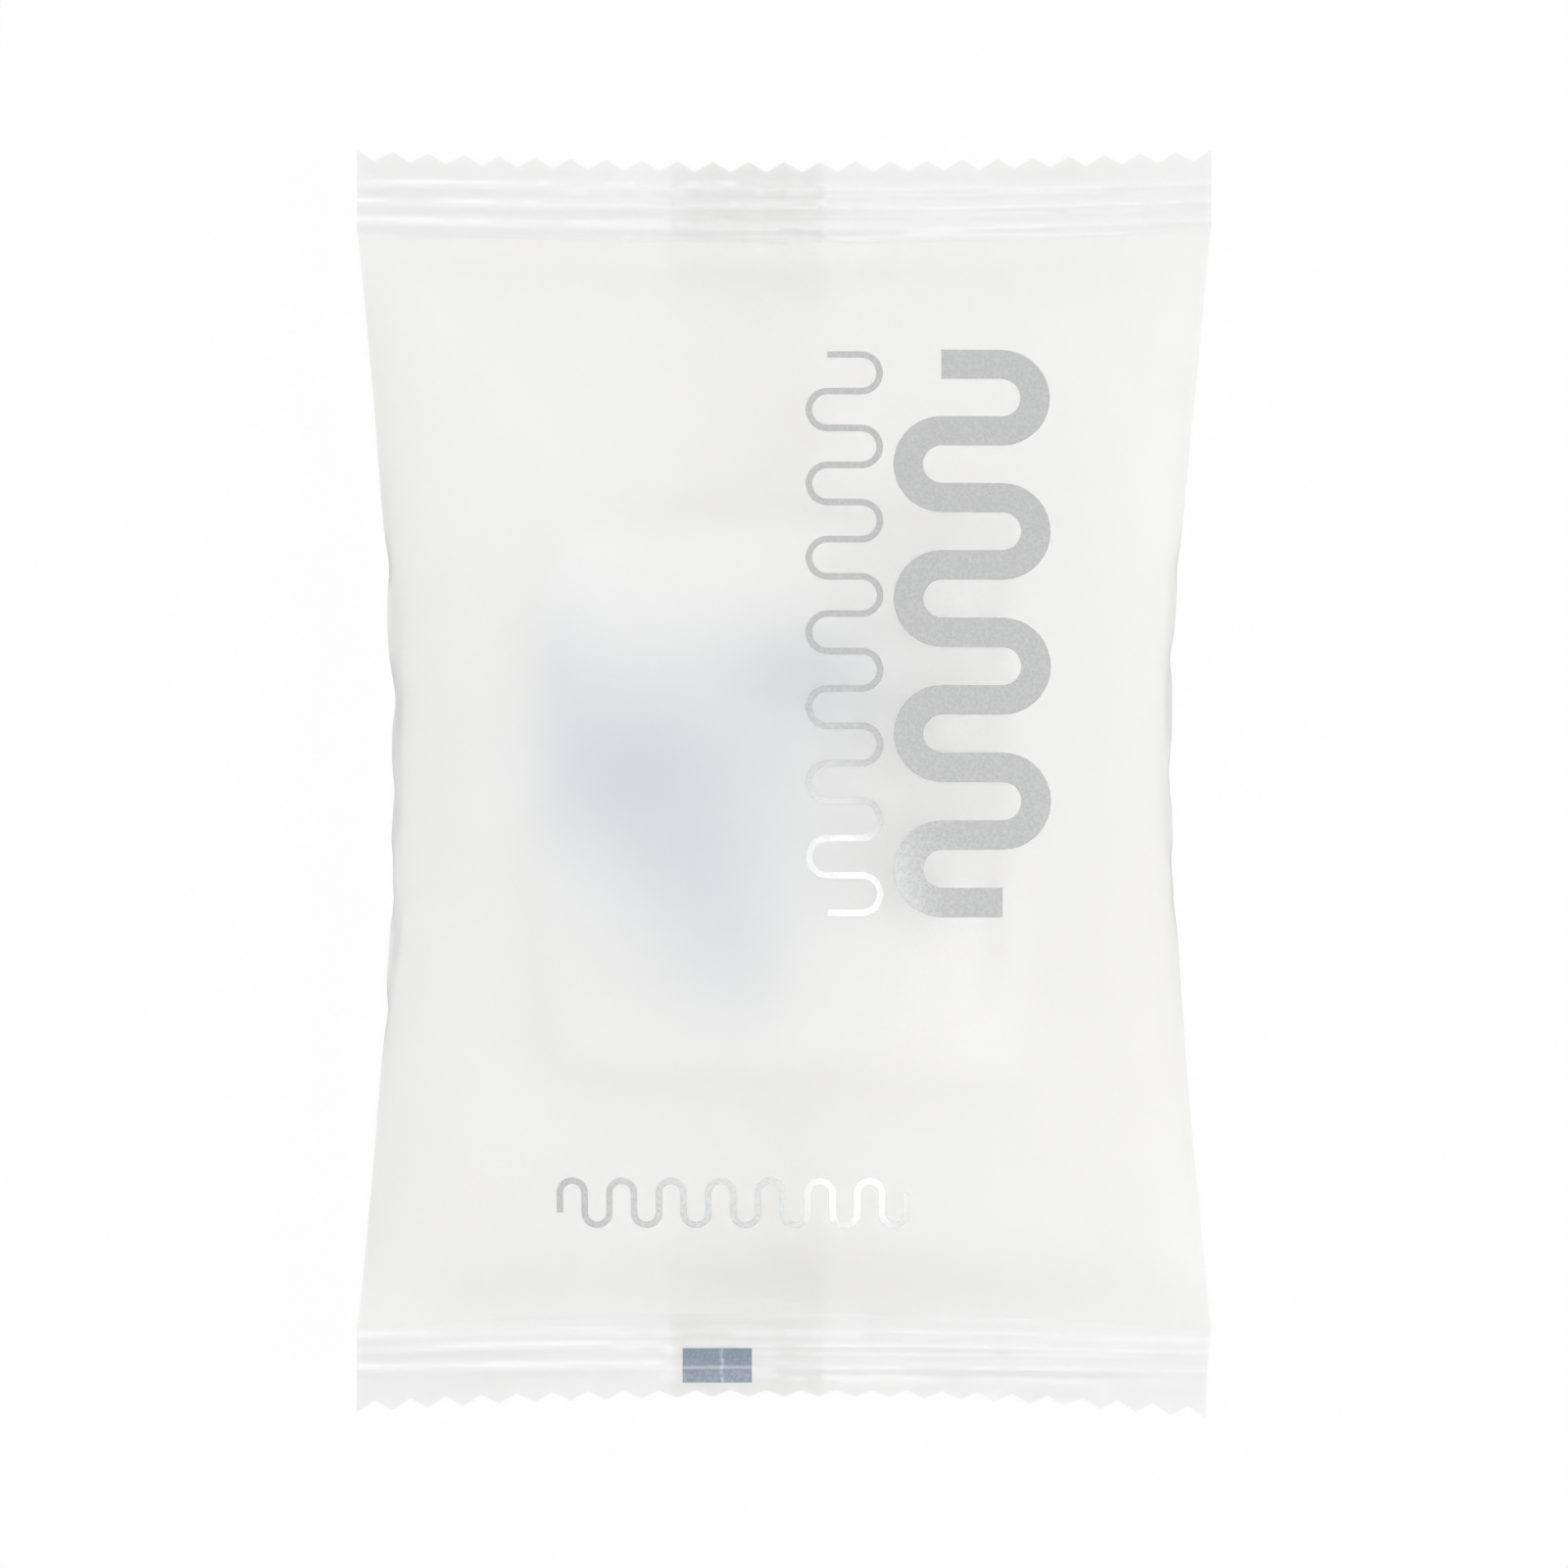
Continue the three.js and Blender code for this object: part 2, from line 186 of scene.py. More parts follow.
# %% A white floor that keeps a shadow
SHADOW_SHARE = 0.045
FLOOR_HALF = 2
FLOOR_DROP = 0.2 * MM


def square(half):
    """Corners of a level square round the origin."""
    return [(-half, -half, 0), (half, -half, 0), (half, half, 0), (-half, half, 0)]


floor_mesh = bpy.data.meshes.new("floor")
floor_mesh.from_pydata(square(FLOOR_HALF), [], [(0, 1, 2, 3)])
floor = bpy.data.objects.new("floor", floor_mesh)
floor.location.z = -FLOOR_DROP
scene.collection.objects.link(floor)
print("floor at", floor.location.z / MM, "mm")

# %% Finish of the floor
floor_paint, tree = new_material("floor_paint")
paint = tree.nodes["Principled BSDF"]
paint.inputs["Base Color"].default_value = (0.92, 0.92, 0.92, 1)
paint.inputs["Roughness"].default_value = 0.9
glow = add_node(tree, "Emission", {"Color": (1, 1, 1, 1), "Strength": 1})
share = add_node(tree, "Math", {1: 1 - SHADOW_SHARE}, operation="MULTIPLY")
lit_floor = add_node(tree, "MixShader")
below = add_node(tree, "NewGeometry")
clear = add_node(tree, "BsdfTransparent")
one_sided = add_node(tree, "MixShader")
wire(
    tree,
    (seen_directly(tree), 0, share, 0),
    (share, 0, lit_floor, "Fac"),
    (paint, 0, lit_floor, 1),
    (glow, 0, lit_floor, 2),
    (below, "Backfacing", one_sided, "Fac"),
    (lit_floor, 0, one_sided, 1),
    (clear, 0, one_sided, 2),
    (one_sided, 0, tree.nodes["Material Output"], "Surface"),
)
floor_mesh.materials.append(floor_paint)
print("share of diffuse paint", SHADOW_SHARE)

# %% [markdown]
# ## Lamps
# A wide soft lamp from the right and a second one from beyond the head shape the pillow. Two low cards
# light the side folds, which turn away from both. A long strip lamp hangs above the lower half of the
# sachet: matt film hardly notices it, but the silver print mirrors it and flashes white where the
# film faces it. All lamps are large, so every shadow is soft.

# %% Soft lamps
LAMPS = [
    ("window", (0.75, -0.14, 0.5), (0, 0, 0), (0.5, 0.5), 2.9),
    ("far_window", (-0.3, 0.8, 0.5), (0, 0, 0), (0.5, 0.5), 2.2),
    ("strip", (0.035, -0.305, 0.72), (0.035, -0.305, 0), (0.085, 0.51), 0.31),
    ("left_card", (-0.8, 0, 0.07), (0, 0, 0.006), (0.8, 0.1), 0.65),
    ("right_card", (0.8, 0, 0.07), (0, 0, 0.006), (0.8, 0.1), 0.4),
]
for name, place, aim, size, watts in LAMPS:
    lamp = bpy.data.lights.new(name, "AREA")
    lamp.shape = "RECTANGLE"
    lamp.size, lamp.size_y = size
    lamp.energy = watts
    holder = bpy.data.objects.new(name, lamp)
    holder.location = place
    holder.rotation_euler = (Vector(aim) - Vector(place)).to_track_quat("-Z", "Y").to_euler()
    holder.visible_camera = False
    scene.collection.objects.link(holder)

# %% [markdown]
# ## Film finish
# Frosted polypropylene scatters light in its surface, a little unevenly: some places are cloudier than
# others, and a fine grain breaks up every reflection. The same clouds and grain show in the tube,
# in the welds and in the cap, so they are one node group, placed in each material with its own values.

# %% Node group for film clouds and grain
def new_group(name, colours, scales, outputs):
    """A node group that takes two colours, some scales and a span of roughness, and its end nodes."""
    group = bpy.data.node_groups.new(name, "ShaderNodeTree")
    sockets = [(label, "INPUT", "NodeSocketColor") for label in colours]
    sockets += [(label, "INPUT", "NodeSocketFloat") for label in (*scales, "Smooth", "Rough")]
    sockets += [("Colour", "OUTPUT", "NodeSocketColor")]
    sockets += [(label, "OUTPUT", "NodeSocketFloat") for label in outputs]
    for label, way, kind in sockets:
        group.interface.new_socket(label, in_out=way, socket_type=kind)
    return group, group.nodes.new("NodeGroupInput"), group.nodes.new("NodeGroupOutput")


def colour_and_shine(group, given, result, colours, tint_by, shine_by):
    """Ends a group: one socket mixes its two colours, and one spans its roughness."""
    tint = add_node(group, "Mix", data_type="RGBA")
    shine = add_node(group, "MapRange")
    group.links.new(tint_by, tint.inputs["Factor"])
    group.links.new(shine_by, shine.inputs["Value"])
    wire(
        group,
        (given, colours[0], tint, "A"),
        (given, colours[1], tint, "B"),
        (given, "Smooth", shine, "To Min"),
        (given, "Rough", shine, "To Max"),
        (tint, "Result", result, "Colour"),
        (shine, "Result", result, "Roughness"),
    )


FILM_COLOURS, FILM_SCALES = ("Clear Colour", "Cloudy Colour"), ("Cloud Scale", "Grain Scale")
film_clouds, given, result = new_group("film_clouds", FILM_COLOURS, FILM_SCALES, ("Roughness", "Grain"))
tree = film_clouds
place = add_node(tree, "TexCoord")
clouds = add_node(tree, "TexNoise", {"Detail": 3, "Roughness": 0.5})
grain = add_node(tree, "TexNoise", {"Detail": 2, "Roughness": 0.6})
even = add_node(tree, "MapRange", {"From Min": 0.3, "From Max": 0.7})
wire(
    tree,
    (place, "Object", clouds, "Vector"),
    (place, "Object", grain, "Vector"),
    (given, "Cloud Scale", clouds, "Scale"),
    (given, "Grain Scale", grain, "Scale"),
    (clouds, "Fac", even, "Value"),
    (grain, "Fac", result, "Grain"),
)
cloudiness, speck = even.outputs["Result"], grain.outputs["Fac"]
colour_and_shine(tree, given, result, FILM_COLOURS, cloudiness, speck)
print(film_clouds.name, "has", len(tree.nodes), "nodes")

# %% [markdown]
# ## Film materials
# The plain tube is matt and lets a good half of the light through. The welds, where films have melted
# together, are paler and glossier, and their crests get a painted highlight of white. The fin lets nearly
# all light through.
# A film has two faces, but bending light at both of them darkens it too much, so the tube's
# inner face and the edges inside the welds are clear, and only its outer face is frosted.

# %% Helpers for materials
GRAIN_SCALE, GRAIN_DEPTH = 2600, 0.05 * MM


def group_material(name, group, shader_values, colours, scales, roughness):
    """A Principled material whose colour and roughness come from a node group, and the group's node."""
    material, tree = new_material(name)
    shader = tree.nodes["Principled BSDF"]
    for socket, value in shader_values.items():
        shader.inputs[socket].default_value = value
    finish = add_node(tree, "Group", node_tree=group)
    for socket, value in zip(finish.inputs, [*((*colour, 1) for colour in colours), *scales, *roughness]):
        socket.default_value = value
    wire(tree, (finish, "Colour", shader, "Base Color"), (finish, "Roughness", shader, "Roughness"))
    return material, finish


def film_material(name, shader_values, clear, cloudy, cloud_scale, roughness, bump_strength):
    """A film with two colours of cloud, a span of roughness and a grain that stands out."""
    scales = (cloud_scale, GRAIN_SCALE)
    material, finish = group_material(name, film_clouds, shader_values, (clear, cloudy), scales, roughness)
    tree = material.node_tree
    bump = add_node(tree, "Bump", {"Strength": bump_strength, "Distance": GRAIN_DEPTH})
    shader = tree.nodes["Principled BSDF"]
    wire(tree, (finish, "Grain", bump, "Height"), (bump, "Normal", shader, "Normal"))
    return material


def tint_by_attribute(material, name, blend, colour):
    """Mixes a colour into a material's Base Color where a mesh attribute is high."""
    tree = material.node_tree
    shader = tree.nodes["Principled BSDF"]
    plain = shader.inputs["Base Color"].links[0].from_socket
    place = add_node(tree, "Attribute", attribute_name=name)
    tint = add_node(tree, "Mix", {"B": colour}, data_type="RGBA", blend_type=blend)
    tree.links.new(plain, tint.inputs["A"])
    wire(tree, (place, "Fac", tint, "Factor"), (tint, "Result", shader, "Base Color"))


# %% Materials of the film
frosted_film = film_material(
    "frosted_film",
    {"Transmission Weight": 0.6, "IOR": 1.2, "Coat Weight": 0.12, "Coat Roughness": 0.28},
    clear=(0.952, 0.951, 0.948), cloudy=(0.934, 0.93, 0.922),
    cloud_scale=45, roughness=(0.9, 1.0), bump_strength=0.25,
)
crimped_film = film_material(
    "crimped_film",
    {"Transmission Weight": 0.5, "IOR": 1.3, "Coat Weight": 0.8, "Coat Roughness": 0.07},
    clear=(0.975, 0.975, 0.973), cloudy=(0.955, 0.954, 0.95),
    cloud_scale=90, roughness=(0.45, 0.6), bump_strength=0.15,
)
# Painted highlight: white mixed into the weld's colour along the crests, standing in for light on the
# ridges.
tint_by_attribute(crimped_film, "painted_crest_highlight", "MIX", (0.995, 0.995, 0.995, 1))
fin_film = film_material(
    "fin_film",
    {"Transmission Weight": 0.94, "IOR": 1.2, "Coat Weight": 0.2, "Coat Roughness": 0.15},
    clear=(0.985, 0.985, 0.983), cloudy=(0.97, 0.97, 0.965),
    cloud_scale=60, roughness=(0.6, 0.75), bump_strength=0.2,
)
fin_plies = film_material(
    "fin_plies",
    {"Transmission Weight": 0.74, "IOR": 1.2},
    clear=(0.975, 0.974, 0.968), cloudy=(0.955, 0.953, 0.943),
    cloud_scale=90, roughness=(0.6, 0.75), bump_strength=0.2,
)
weld_joint, tree = new_material("weld_joint")
tree.nodes.remove(tree.nodes["Principled BSDF"])
see_through = add_node(tree, "BsdfTransparent")
wire(tree, (see_through, 0, tree.nodes["Material Output"], "Surface"))
films = (frosted_film, crimped_film, fin_film, fin_plies, weld_joint)
print("film materials", [film.name for film in films])

# %% [markdown]
# ## The pillow
# The tube starts as two flat panels of film, welded together at both ends. The air and the cap inside
# swell it, and because film does not stretch, its side folds are drawn in and its ends bow. That is
# exactly what a cloth simulation does: the flat tube is the rest shape, the end rows are pinned
# and drawn to their bowed lines, and an inner pressure fills it while it lies on a table.

# %% The flat tube
FILM_STEP = 1.6 * MM
ACROSS = round(2 * HALF_WIDTH / FILM_STEP)
CUT_HEAD, CUT_TAIL = max(HEAD_LINES[0]) * MM, max(TAIL_LINES[0]) * MM
ALONG = round((CUT_HEAD + CUT_TAIL) / FILM_STEP)
ROUND = 2 * ACROSS
WELD_HALF = 0.08 * MM
SLACK = 0.4 * MM
PUFF = 0.2 * MM
PUFF_ROWS = 2
PUFF_FROM_FOLD = 2 * MM


def tube_points(tail_y, head_y):
    """Points of the flat tube between two end lines: each row runs left over the front, then back."""
    points = np.zeros((ALONG + 1, ROUND, 3))
    for row in range(ALONG + 1):
        from_end = min(1, min(row, ALONG - row) / PUFF_ROWS)
        for k in range(ROUND):
            side = 1 if k < ACROSS else -1
            x = HALF_WIDTH - 2 * HALF_WIDTH * (k if k < ACROSS else ROUND - k) / ACROSS
            from_fold = min(1, (HALF_WIDTH - abs(x)) / PUFF_FROM_FOLD)
            puff = side * from_fold * (WELD_HALF + PUFF * from_end)
            low, high = -tail_y(x), head_y(x)
            points[row, k] = (x, low + (high - low) * row / ALONG, FOLD_Z + puff)
    return points


def grid_faces(rows, columns, closed):
    """Faces of a grid of points, closed round its columns or open."""
    faces = []
    for row in range(rows - 1):
        for k in range(columns if closed else columns - 1):
            after = (k + 1) % columns
            here, ahead = row * columns, (row + 1) * columns
            faces.append((here + k, ahead + k, ahead + after, here + after))
    return faces


flat_tube = tube_points(lambda x: CUT_TAIL + SLACK / 2, lambda x: CUT_HEAD + SLACK / 2)
drawn_tube = tube_points(lambda x: line_at(TAIL_LINES[0], x), lambda x: line_at(HEAD_LINES[0], x))
tube_faces = grid_faces(ALONG + 1, ROUND, closed=True)
print("flat tube", ROUND, "points round and", ALONG + 1, "rows")


# %% Helpers for new pieces
def mark_rims(mesh):
    """Marks open edges as sharp, so that a rim added there doesn't bend the shading of the sheet."""
    uses = np.zeros(len(mesh.loops), dtype=np.int32)
    mesh.loops.foreach_get("edge_index", uses)
    rims = mesh.attributes.new("sharp_edge", "BOOLEAN", "EDGE")
    rims.data.foreach_set("value", np.bincount(uses, minlength=len(mesh.edges)) == 1)


def make_piece(name, points, faces, material, sharp=False):
    """A smooth mesh object with one material, with crisp edges if it is cut from flat stuff."""
    mesh = bpy.data.meshes.new(name)
    mesh.from_pydata([tuple(point) for point in np.reshape(points, (-1, 3))], [], faces)
    mesh.update()
    mesh.shade_smooth()
    mark_rims(mesh)
    if sharp:
        mesh.set_sharp_from_angle(angle=math.radians(60))
    if material:
        mesh.materials.append(material)
    piece = bpy.data.objects.new(name, mesh)
    scene.collection.objects.link(piece)
    return piece


def thicken(piece, thickness, offset):
    """Gives a sheet its thickness: offset -1 is inwards, 0 is to both sides."""
    solid = piece.modifiers.new("thickness", "SOLIDIFY")
    solid.thickness = thickness
    solid.offset = offset


def paint_points(piece, name, values):
    """Writes one number to each point of a piece, for a material to read by name."""
    layer = piece.data.attributes.new(name, "FLOAT", "POINT")
    layer.data.foreach_set("value", values)


# %% [markdown]
# ## Air
# Blender's cloth likes sizes near one metre, so the tube is simulated at ten times life size. The film
# hardly stretches and bends easily. It weighs next to nothing, so gravity is left out.

# %% Fill the tube with air
SIM_SCALE = 10
FRAMES = 42
CONTACT = 0.001
CLOTH = {
    "quality": 8,
    "mass": 0.05,
    "air_damping": 3,
    "tension_stiffness": 200,
    "compression_stiffness": 200,
    "shear_stiffness": 50,
    "bending_stiffness": 0.008,
    "tension_damping": 10,
    "compression_damping": 10,
    "shear_damping": 10,
    "vertex_group_mass": "weld",
    "use_pressure": True,
    "uniform_pressure_force": 27,
}


def add_cloth(tube, frames):
    """Lets a tube swell: its end rows are pinned, and drawn in during the first third of the frames."""
    tube.shape_key_add(name="Basis")
    drawn = tube.shape_key_add(name="drawn_in")
    drawn.data.foreach_set("co", (drawn_tube * SIM_SCALE).astype(np.float32).ravel())
    for value, at in ((0, 1), (1, max(2, frames // 3))):
        drawn.value = value
        drawn.keyframe_insert("value", frame=at)
    weld = tube.vertex_groups.new(name="weld")
    last_row = ALONG * ROUND
    weld.add([*range(ROUND), *range(last_row, last_row + ROUND)], 1, "REPLACE")
    cloth = tube.modifiers.new("film", "CLOTH")
    cloth.point_cache.frame_end = frames
    cloth.collision_settings.distance_min = CONTACT
    for setting, value in CLOTH.items():
        setattr(cloth.settings, setting, value)
    cloth.settings.effector_weights.gravity = 0


def simulated(frames):
    """The tube's points after the film has swollen on the table."""
    tube = make_piece("tube_at_sim_scale", flat_tube * SIM_SCALE, tube_faces, None)
    add_cloth(tube, frames)
    table = make_piece("table_at_sim_scale", square(FLOOR_HALF), [(0, 1, 2, 3)], None)
    table.modifiers.new("table", "COLLISION")
    table.collision.thickness_outer = CONTACT
    table.collision.cloth_friction = 5
    for step in range(1, frames + 1):
        scene.frame_set(step)
    swollen = tube.evaluated_get(bpy.context.evaluated_depsgraph_get())
    points = np.empty(len(swollen.data.vertices) * 3)
    swollen.data.vertices.foreach_get("co", points)
    for helper in (tube, table):
        bpy.data.objects.remove(helper, do_unlink=True)
    scene.frame_set(1)
    return points.reshape(ALONG + 1, ROUND, 3) / SIM_SCALE


pillow = simulated(FRAMES)
print("simulated width at the middle", round(np.ptp(pillow[ALONG // 2, :, 0]) / MM, 2), "mm")

# %% [markdown]
# ## Pinched folds and soft creases
# The simulation gives an even cushion. On the real sachet the side folds are pinched to a sharp edge,
# the left one is drawn in less than the right, the film lies flat where it runs into the welds, and
# packing has left waves and creases in the front. All these are small moves of the simulated points.

# %% Creases of the front film
CREASE_WIDTH = 1.7 * MM
CREASES = [
    ((13, -11), (24, -27), 0.16),
    ((-11, -18), (-4, -26), -0.12),
    ((-19, 44), (-14, 33), 0.14),
    ((19, 43), (13, 36), -0.12),
    ((-30, -24), (-26, -38), 0.14),
    ((30, 22), (26, 38), 0.14),
]


def soft_step(value):
    """0 below 0, 1 above 1, and a smooth step between."""
    value = min(1, max(0, value))
    return value * value * (3 - 2 * value)


def crease_height(x, y):
    """Height of the soft creases that packing has left in the front film."""
    height = 0
    for start, end, depth in CREASES:
        start, end = Vector(start) * MM, Vector(end) * MM
        along = end - start
        part = min(1, max(0, (Vector((x, y)) - start).dot(along) / along.length_squared))
        away = (Vector((x, y)) - start - along * part).length / CREASE_WIDTH
        height += depth * MM * math.exp(-away * away) * math.sin(math.pi * (0.1 + 0.8 * part))
    return height


# %% Pinch, flatten and crease the pillow
FOLD_PINCH = 3.5 * MM
SWELL = 1.02
LEFT_WIDENING = 0.028
FLAT_REACH = 7 * MM
RISE_AT_WELD = 0.12
WAVE_HEIGHT = 0.5 * MM
WAVE_FROM_FOLD = 9 * MM
for row in pillow:
    right_fold, left_fold = row[0].copy(), row[ACROSS].copy()
    for k, point in enumerate(row):
        fold = right_fold if point[0] > 0 else left_fold
        away = abs(point[0] - fold[0])
        point[2] = fold[2] + SWELL * (point[2] - fold[2]) * math.sqrt(away / (away + FOLD_PINCH))
        x, y, z = point
        if x < 0:
            point[0] = x * (1 + LEFT_WIDENING * (1 - (y / CUT_TAIL) ** 2) ** 2)
        from_weld = min(line_at(HEAD_LINES[0], x) - y, y + line_at(TAIL_LINES[0], x))
        rise = soft_step(RISE_AT_WELD + from_weld / FLAT_REACH)
        point[2] = FOLD_Z + (z - FOLD_Z) * rise
        if k < ACROSS:
            from_fold = soft_step((HALF_WIDTH - abs(x)) / WAVE_FROM_FOLD)
            wave = WAVE_HEIGHT * noise.noise((x * 55, y * 45, 3)) + crease_height(x, y)
            point[2] += wave * rise * from_fold
print("pillow from", round(pillow[..., 2].min() / MM, 2), "to", round(pillow[..., 2].max() / MM, 2), "mm")

# %% [markdown]
# ## Back seam
# Along the back the two edges of the web are welded face to face, and the fin that they make lies folded
# to one side. The back of the pillow rides up over it by about its thickness. Here the
# simulated points are lifted over the fin's width, with a soft step at each edge.

# %% Lift the back over the fin
fin_low, fin_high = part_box("back_fin_seal")
FIN_FREE_X, FIN_ROOT_X = fin_low.x, fin_high.x
FIN_LIFT = 0.22 * MM
FIN_STEP = 1.6 * MM
LIFT_ROWS = 3


def inside_fin(x):
    """1 over the fin, falling to 0 outside its two edges."""
    outside = max(FIN_FREE_X - x, x - FIN_ROOT_X, 0)
    return max(0, 1 - outside / FIN_STEP)


for row in range(ALONG + 1):
    from_end = min(1, min(row, ALONG - row) / LIFT_ROWS)
    for k in range(ACROSS + 1, ROUND):
        pillow[row, k, 2] += FIN_LIFT * from_end * inside_fin(pillow[row, k, 0])
print("back lifted by", round(FIN_LIFT / MM, 2), "mm over the fin")

# %% [markdown]
# ## The film itself
# The points become one sheet, closed round the sachet. A subdivision surface rounds it, except along
# the side folds, which stay sharp. Its thickness goes inwards, with the clear finish on the inside.

# %% Make the film
FILM_THICKNESS = 0.06 * MM
pouch_film = make_piece("pouch_film", pillow, tube_faces, frosted_film)
folds = (0, ACROSS)
fold_creases = pouch_film.data.attributes.new("crease_edge", "FLOAT", "EDGE")
for edge in pouch_film.data.edges:
    first, second = edge.vertices
    if first % ROUND == second % ROUND and first % ROUND in folds:
        fold_creases.data[edge.index].value = 1
        edge.use_edge_sharp = True
corners = pouch_film.data.attributes.new("crease_vert", "FLOAT", "POINT")
for row in (0, ALONG):
    for fold in folds:
        corners.data[row * ROUND + fold].value = 1
smooth = pouch_film.modifiers.new("smooth_film", "SUBSURF")
smooth.levels = smooth.render_levels = 1
thicken(pouch_film, FILM_THICKNESS, -1)
pouch_film.data.materials.append(weld_joint)
pouch_film.modifiers["thickness"].material_offset = 1
pouch_film.modifiers["thickness"].material_offset_rim = 1
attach(pouch_film, "pouch")
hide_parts("wrapper_sleeve")
bpy.context.view_layer.update()
film_surface = BVHTree.FromObject(pouch_film, bpy.context.evaluated_depsgraph_get())
print("pouch film", len(pouch_film.data.vertices), "points before smoothing")

# %% [markdown]
# ## The fin
# The fin is two plies of film with fine weld ribs across it. It is laid against the back by looking up
# for the film at each of its places, and its free edge stands off a little more than its root.

# %% Lay the fin on the back
FIN_RIB_PITCH = 1.1 * MM
FIN_RIB_HEIGHT = 0.03 * MM
FIN_END_GAP = 0.1 * MM
FIN_LIE = 0.05 * MM
FIN_THICKNESS = 0.1 * MM


def film_point(x, y, from_above):
    """Where a straight line down or up through x, y first meets the pillow, and the normal there."""
    start = Vector((x, y, 0.05 if from_above else -0.05))
    place, normal, _, _ = film_surface.ray_cast(start, Vector((0, 0, -1 if from_above else 1)))
    return place, normal


fin_rows = np.linspace(0, 1, 330)
fin_places = np.linspace(FIN_ROOT_X, FIN_FREE_X, 14)
fin_points = []
for part in fin_rows:
    for x in fin_places:
        low, high = -line_at(TAIL_LINES[0], x), line_at(HEAD_LINES[0], x)
        y = low + FIN_END_GAP + (high - low - 2 * FIN_END_GAP) * part
        free = (FIN_ROOT_X - x) / (FIN_ROOT_X - FIN_FREE_X)
        rib = FIN_RIB_HEIGHT * math.sin(2 * math.pi * y / FIN_RIB_PITCH) * min(1, 4 * free)
        lie = FIN_LIE * (1 + free * (1 + noise.noise((x * 60, y * 90, 4))))
        place, _ = film_point(x, y, from_above=False)
        fin_points.append((x, y, place.z - lie + rib))
fin_faces = grid_faces(len(fin_rows), len(fin_places), closed=False)
fin_flap = make_piece("fin_flap", fin_points, fin_faces, fin_film)
thicken(fin_flap, FIN_THICKNESS, 0)
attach(fin_flap, "pouch")
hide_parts("back_fin_seal")
print("fin", round((FIN_ROOT_X - FIN_FREE_X) / MM, 1), "mm wide")

# %% [markdown]
# ## Crimped ends
# Heated jaws press front film, back film and fin into one band with three ridges, and a toothed knife
# cuts it off. The band is a fine grid: its rows follow the five lines of the end, its columns hit every
# tooth tip and valley. The ridges are pressed a little unevenly, and the band ripples slightly,
# because hot film shrinks; those small faults are what catches the light.

# %% Knife and jaws
TEETH = 24
TOOTH_DEPTH = 0.9 * MM
TEETH_FROM = 3.55
FIN_EDGE_REACH = 9 * MM
HARD_PLACE, HARD_REACH = 21 * MM, 6 * MM


def tooth_cut(x, way):
    """How far the knife cuts back from the tooth tips: less in the middle of the tail."""
    turn = ((x / HALF_WIDTH + 1) / 2 * TEETH) % 1
    full = TOOTH_DEPTH if way > 0 else TOOTH_DEPTH * (0.6 + 0.5 * abs(x) / HALF_WIDTH)
    return full * (1 - abs(1 - 2 * turn))


def pressed(x, ridge, way):
    """How hard the jaws pressed a ridge: harder beside the head's fin, and at one place of the tail."""
    force = 0.95 + 0.5 * noise.noise((x * 110, ridge * 3.7, way * 5))
    beside_fin = max(FIN_FREE_X - x, x - FIN_ROOT_X, 0)
    if way > 0 and beside_fin > 0:
        force += 0.5 * soft_step(1 - beside_fin / FIN_EDGE_REACH)
    if way < 0 and ridge == 3:
        force += 0.75 * soft_step(2 - abs(x - HARD_PLACE) / HARD_REACH)
    return force


def place_on_lines(lines, x, v):
    """Distance from the sachet's middle at v, which counts the end's lines from 0 to 4."""
    line = min(3, int(v))
    part = v - line
    return line_at(lines[line], x) * (1 - part) + line_at(lines[line + 1], x) * part


def ridges_at(lines, way, x, y, width):
    """How strongly the three ridges stand out at a place: about 1 on a crest."""
    total = 0
    for near in (1, 2, 3):
        away = (y - line_at(lines[near], x)) / width
        total += pressed(x, near, way) * math.exp(-away * away)
    return total


# %% Shape of a crimped band
RIDGE_HEIGHT = 0.3 * MM
RIDGE_WIDTH = 0.5 * MM
RIPPLE = 0.5 * MM
DENT = 0.05 * MM
FIN_DENT, FIN_DENT_REACH = 0.06 * MM, 7 * MM
TAIL_LEAN = 0.5 * MM
TAIL_CURL = 0.7 * MM


def band_point(lines, way, x, v, lift=0):
    """A point of a crimped band, at line v."""
    y = place_on_lines(lines, x, v)
    ridge = RIDGE_HEIGHT * ridges_at(lines, way, x, y, RIDGE_WIDTH)
    y -= tooth_cut(x, way) * max(0, (v - TEETH_FROM) / (4 - TEETH_FROM))
    ripple = RIPPLE * (v / 4) * noise.noise((x * 45, v * 0.3, way * 9 + 2))
    dents = DENT * noise.noise((x * 420, y * 420, way)) * min(1, v)
    if way > 0:
        from_fin_edge = min(abs(x - FIN_FREE_X), abs(x - FIN_ROOT_X))
        near_edge = soft_step(1.4 - from_fin_edge / FIN_DENT_REACH)
        dents += FIN_DENT * noise.noise((x * 900, y * 900, 6)) * near_edge
    lean = TAIL_LEAN * v / 4 if way < 0 and x > 0 else 0
    curl = TAIL_CURL * (v / 4) ** 2 if way < 0 else 0
    return x * (1 - lean / HALF_WIDTH), way * y, FOLD_Z + ridge + ripple + dents + curl + lift


def slab_faces(rows, columns):
    """Faces of a slab whose upper grid of points comes before its lower one: first the rim at row 0."""
    lower = rows * columns
    last = lower - columns
    border = [*range(columns - 1), *range(columns - 1, lower - 1, columns)]
    border += [*range(lower - 1, last, -1), *range(last, 0, -columns)]
    rims = [(k, ahead, ahead + lower, k + lower) for k, ahead in zip(border, border[1:] + border[:1])]
    upper = [face[::-1] for face in grid_faces(rows, columns, closed=False)]
    return rims + upper + [tuple(k + lower for k in face[::-1]) for face in upper]
